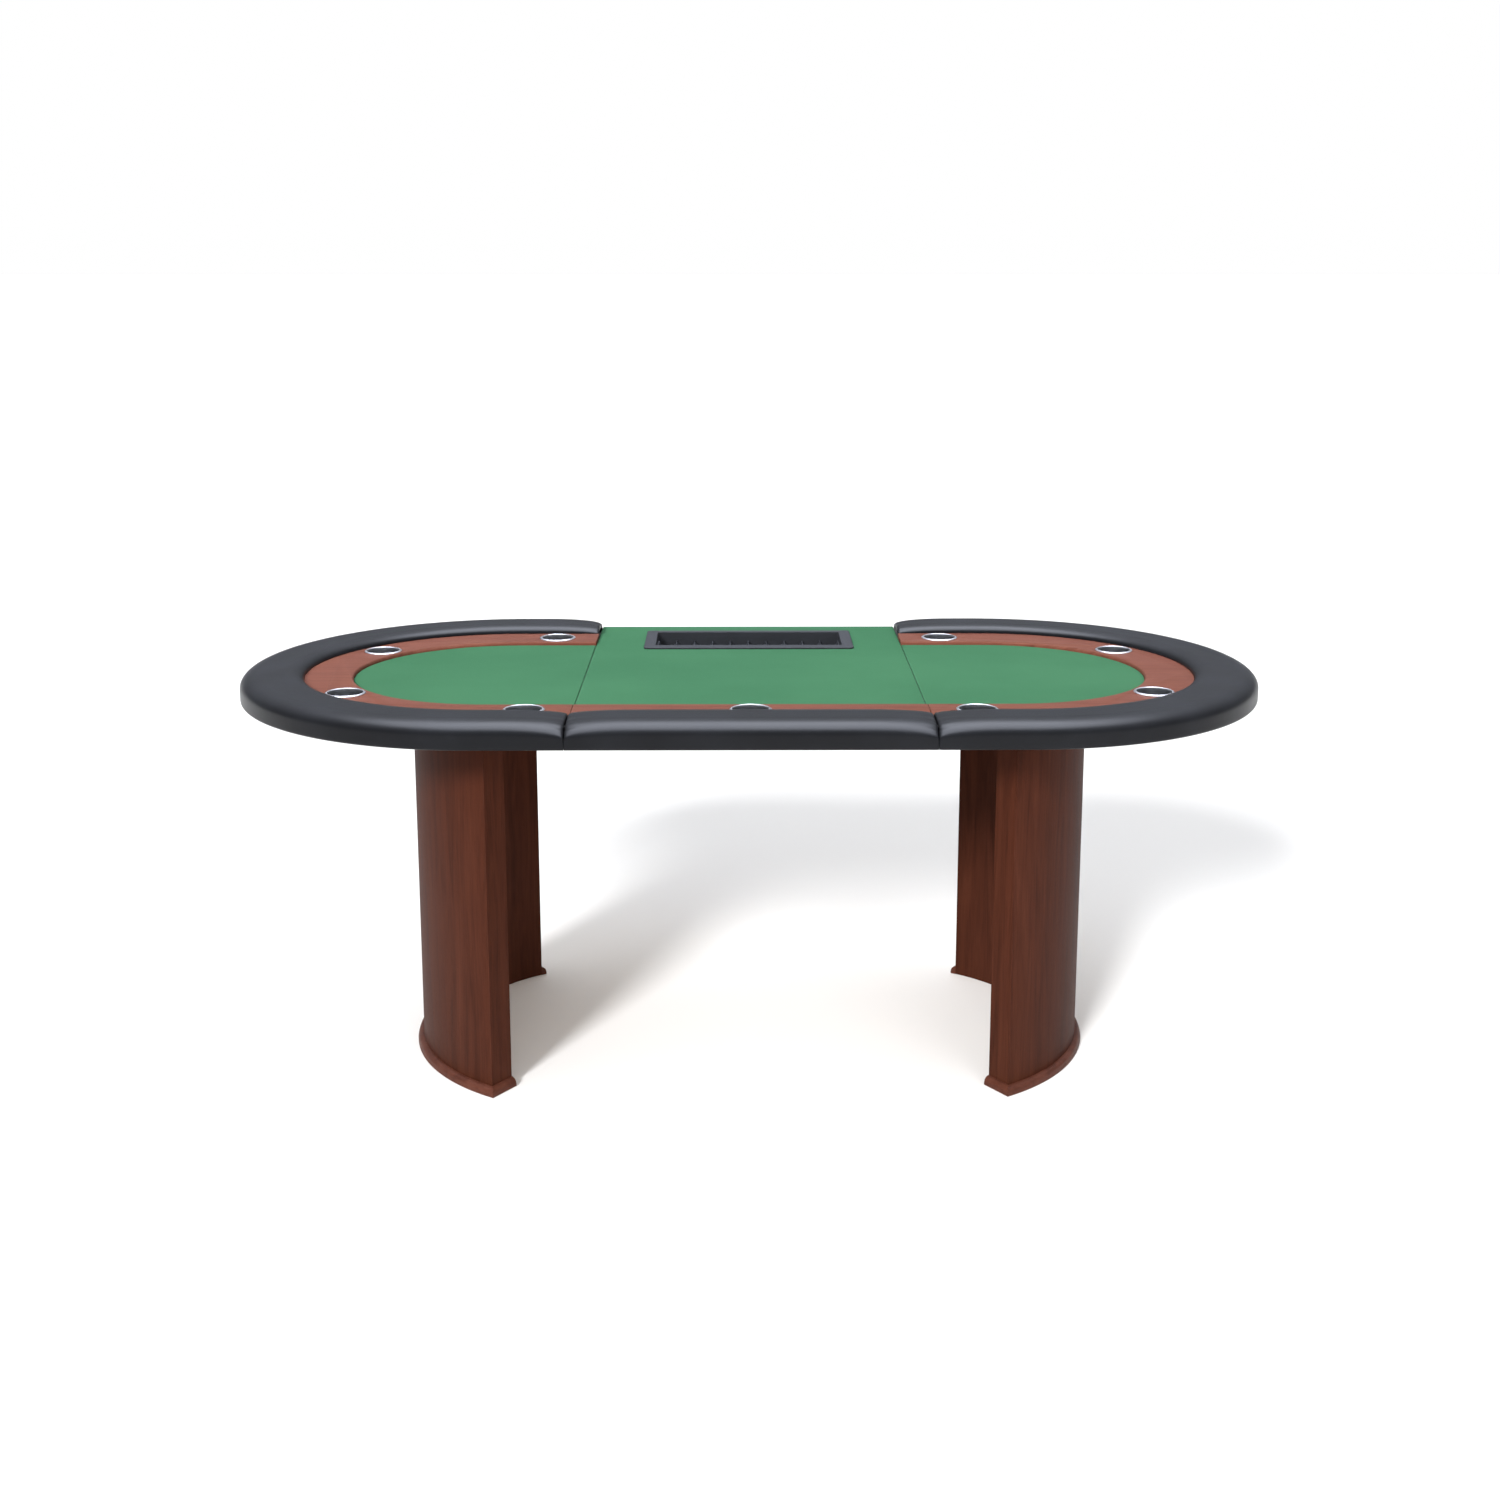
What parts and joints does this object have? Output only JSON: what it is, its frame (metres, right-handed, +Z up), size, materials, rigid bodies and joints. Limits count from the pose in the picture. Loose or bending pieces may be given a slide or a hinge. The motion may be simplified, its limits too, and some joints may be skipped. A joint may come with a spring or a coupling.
{
  "type": "poker table",
  "caption": "Oval card table with a green cloth, wooden racetrack, padded rail, steel cup holders, a chip tray and curved panel legs.",
  "frame": {"origin": "on the floor under the middle of the table top", "axes": "+X along the table's length, +Y towards the dealer's side where the chip tray is, +Z up"},
  "size_m": [2.08, 1.06, 0.8],
  "materials": {
    "plywood": "unfinished birch plywood, fine grain",
    "underlay_foam": "closed foam underlay, matt",
    "playing_cloth": "short-nap green gaming cloth",
    "racetrack_wood": "reddish mahogany veneer, satin lacquer",
    "core_wood": "plain softwood",
    "rail_leather": "smooth black synthetic leather over foam",
    "cup_steel": "polished stainless steel with a rolled rim",
    "tray_plastic": "dark grey moulded plastic, fine texture",
    "zinc_steel": "zinc-plated steel",
    "latch_steel": "nickel-plated pressed steel",
    "moulding_wood": "red-brown stained hardwood, satin lacquer",
    "leg_wood": "dark red-brown veneer with upright grain, satin lacquer"
  },
  "bodies": {
    "table": {"board_left": "plywood", "board_centre": "plywood", "board_right": "plywood", "foam_left": "underlay_foam", "foam_centre": "underlay_foam", "foam_right": "underlay_foam", "cloth_left": "playing_cloth", "cloth_centre": "playing_cloth", "cloth_right": "playing_cloth", "track_left": "racetrack_wood", "track_centre": "racetrack_wood", "track_right": "racetrack_wood", "rail_core_left": "core_wood", "rail_core_centre": "core_wood", "rail_core_right": "core_wood", "rail_pad_left": "rail_leather", "rail_pad_centre": "rail_leather", "rail_pad_right": "rail_leather", "seam_dowels": "core_wood", "rail_bolts": "zinc_steel", "latch_plates": "latch_steel", "latch_strikes": "latch_steel", "latch_screws": "zinc_steel", "leg_left_outer_skin": "leg_wood", "leg_left_inner_skin": "leg_wood", "leg_left_end_posts": "leg_wood", "leg_left_ribs": "core_wood", "leg_left_top_plate": "core_wood", "leg_left_base_plate": "core_wood", "leg_left_moulding": "moulding_wood", "leg_left_moulding_ends": "moulding_wood", "leg_left_brackets": "zinc_steel", "leg_left_screws": "zinc_steel", "leg_right_outer_skin": "leg_wood", "leg_right_inner_skin": "leg_wood", "leg_right_end_posts": "leg_wood", "leg_right_ribs": "core_wood", "leg_right_top_plate": "core_wood", "leg_right_base_plate": "core_wood", "leg_right_moulding": "moulding_wood", "leg_right_moulding_ends": "moulding_wood", "leg_right_brackets": "zinc_steel", "leg_right_screws": "zinc_steel"},
    "cup_left_1_body": {"cup_left_1": "cup_steel"},
    "cup_left_2_body": {"cup_left_2": "cup_steel"},
    "cup_left_3_body": {"cup_left_3": "cup_steel"},
    "cup_left_4_body": {"cup_left_4": "cup_steel"},
    "cup_right_1_body": {"cup_right_1": "cup_steel"},
    "cup_right_2_body": {"cup_right_2": "cup_steel"},
    "cup_right_3_body": {"cup_right_3": "cup_steel"},
    "cup_right_4_body": {"cup_right_4": "cup_steel"},
    "cup_front_body": {"cup_front": "cup_steel"},
    "chip_tray_body": {"chip_tray": "tray_plastic"},
    "latch_hook_1_body": {"latch_hook_1": "latch_steel"},
    "latch_hook_2_body": {"latch_hook_2": "latch_steel"},
    "latch_hook_3_body": {"latch_hook_3": "latch_steel"},
    "latch_hook_4_body": {"latch_hook_4": "latch_steel"}
  },
  "joints": [
    {"name": "cup_left_1_lift", "type": "slide", "parent": "table", "child": "cup_left_1_body", "axis": [0, 0, 1], "range_m": [0, 0.085]},
    {"name": "cup_left_2_lift", "type": "slide", "parent": "table", "child": "cup_left_2_body", "axis": [0, 0, 1], "range_m": [0, 0.085]},
    {"name": "cup_left_3_lift", "type": "slide", "parent": "table", "child": "cup_left_3_body", "axis": [0, 0, 1], "range_m": [0, 0.085]},
    {"name": "cup_left_4_lift", "type": "slide", "parent": "table", "child": "cup_left_4_body", "axis": [0, 0, 1], "range_m": [0, 0.085]},
    {"name": "cup_right_1_lift", "type": "slide", "parent": "table", "child": "cup_right_1_body", "axis": [0, 0, 1], "range_m": [0, 0.085]},
    {"name": "cup_right_2_lift", "type": "slide", "parent": "table", "child": "cup_right_2_body", "axis": [0, 0, 1], "range_m": [0, 0.085]},
    {"name": "cup_right_3_lift", "type": "slide", "parent": "table", "child": "cup_right_3_body", "axis": [0, 0, 1], "range_m": [0, 0.085]},
    {"name": "cup_right_4_lift", "type": "slide", "parent": "table", "child": "cup_right_4_body", "axis": [0, 0, 1], "range_m": [0, 0.085]},
    {"name": "cup_front_lift", "type": "slide", "parent": "table", "child": "cup_front_body", "axis": [0, 0, 1], "range_m": [0, 0.085]},
    {"name": "chip_tray_lift", "type": "slide", "parent": "table", "child": "chip_tray_body", "axis": [0, 0, 1], "range_m": [0, 0.05]},
    {"name": "latch_hook_1_turn", "type": "hinge", "parent": "table", "child": "latch_hook_1_body", "pos_m": [-0.372, -0.23, 0.741], "axis": [0, 0, 1], "range_deg": [0, 75]},
    {"name": "latch_hook_2_turn", "type": "hinge", "parent": "table", "child": "latch_hook_2_body", "pos_m": [-0.372, 0.23, 0.741], "axis": [0, 0, 1], "range_deg": [-75, 0]},
    {"name": "latch_hook_3_turn", "type": "hinge", "parent": "table", "child": "latch_hook_3_body", "pos_m": [0.372, -0.23, 0.741], "axis": [0, 0, 1], "range_deg": [-75, 0]},
    {"name": "latch_hook_4_turn", "type": "hinge", "parent": "table", "child": "latch_hook_4_body", "pos_m": [0.372, 0.23, 0.741], "axis": [0, 0, 1], "range_deg": [0, 75]}
  ]
}
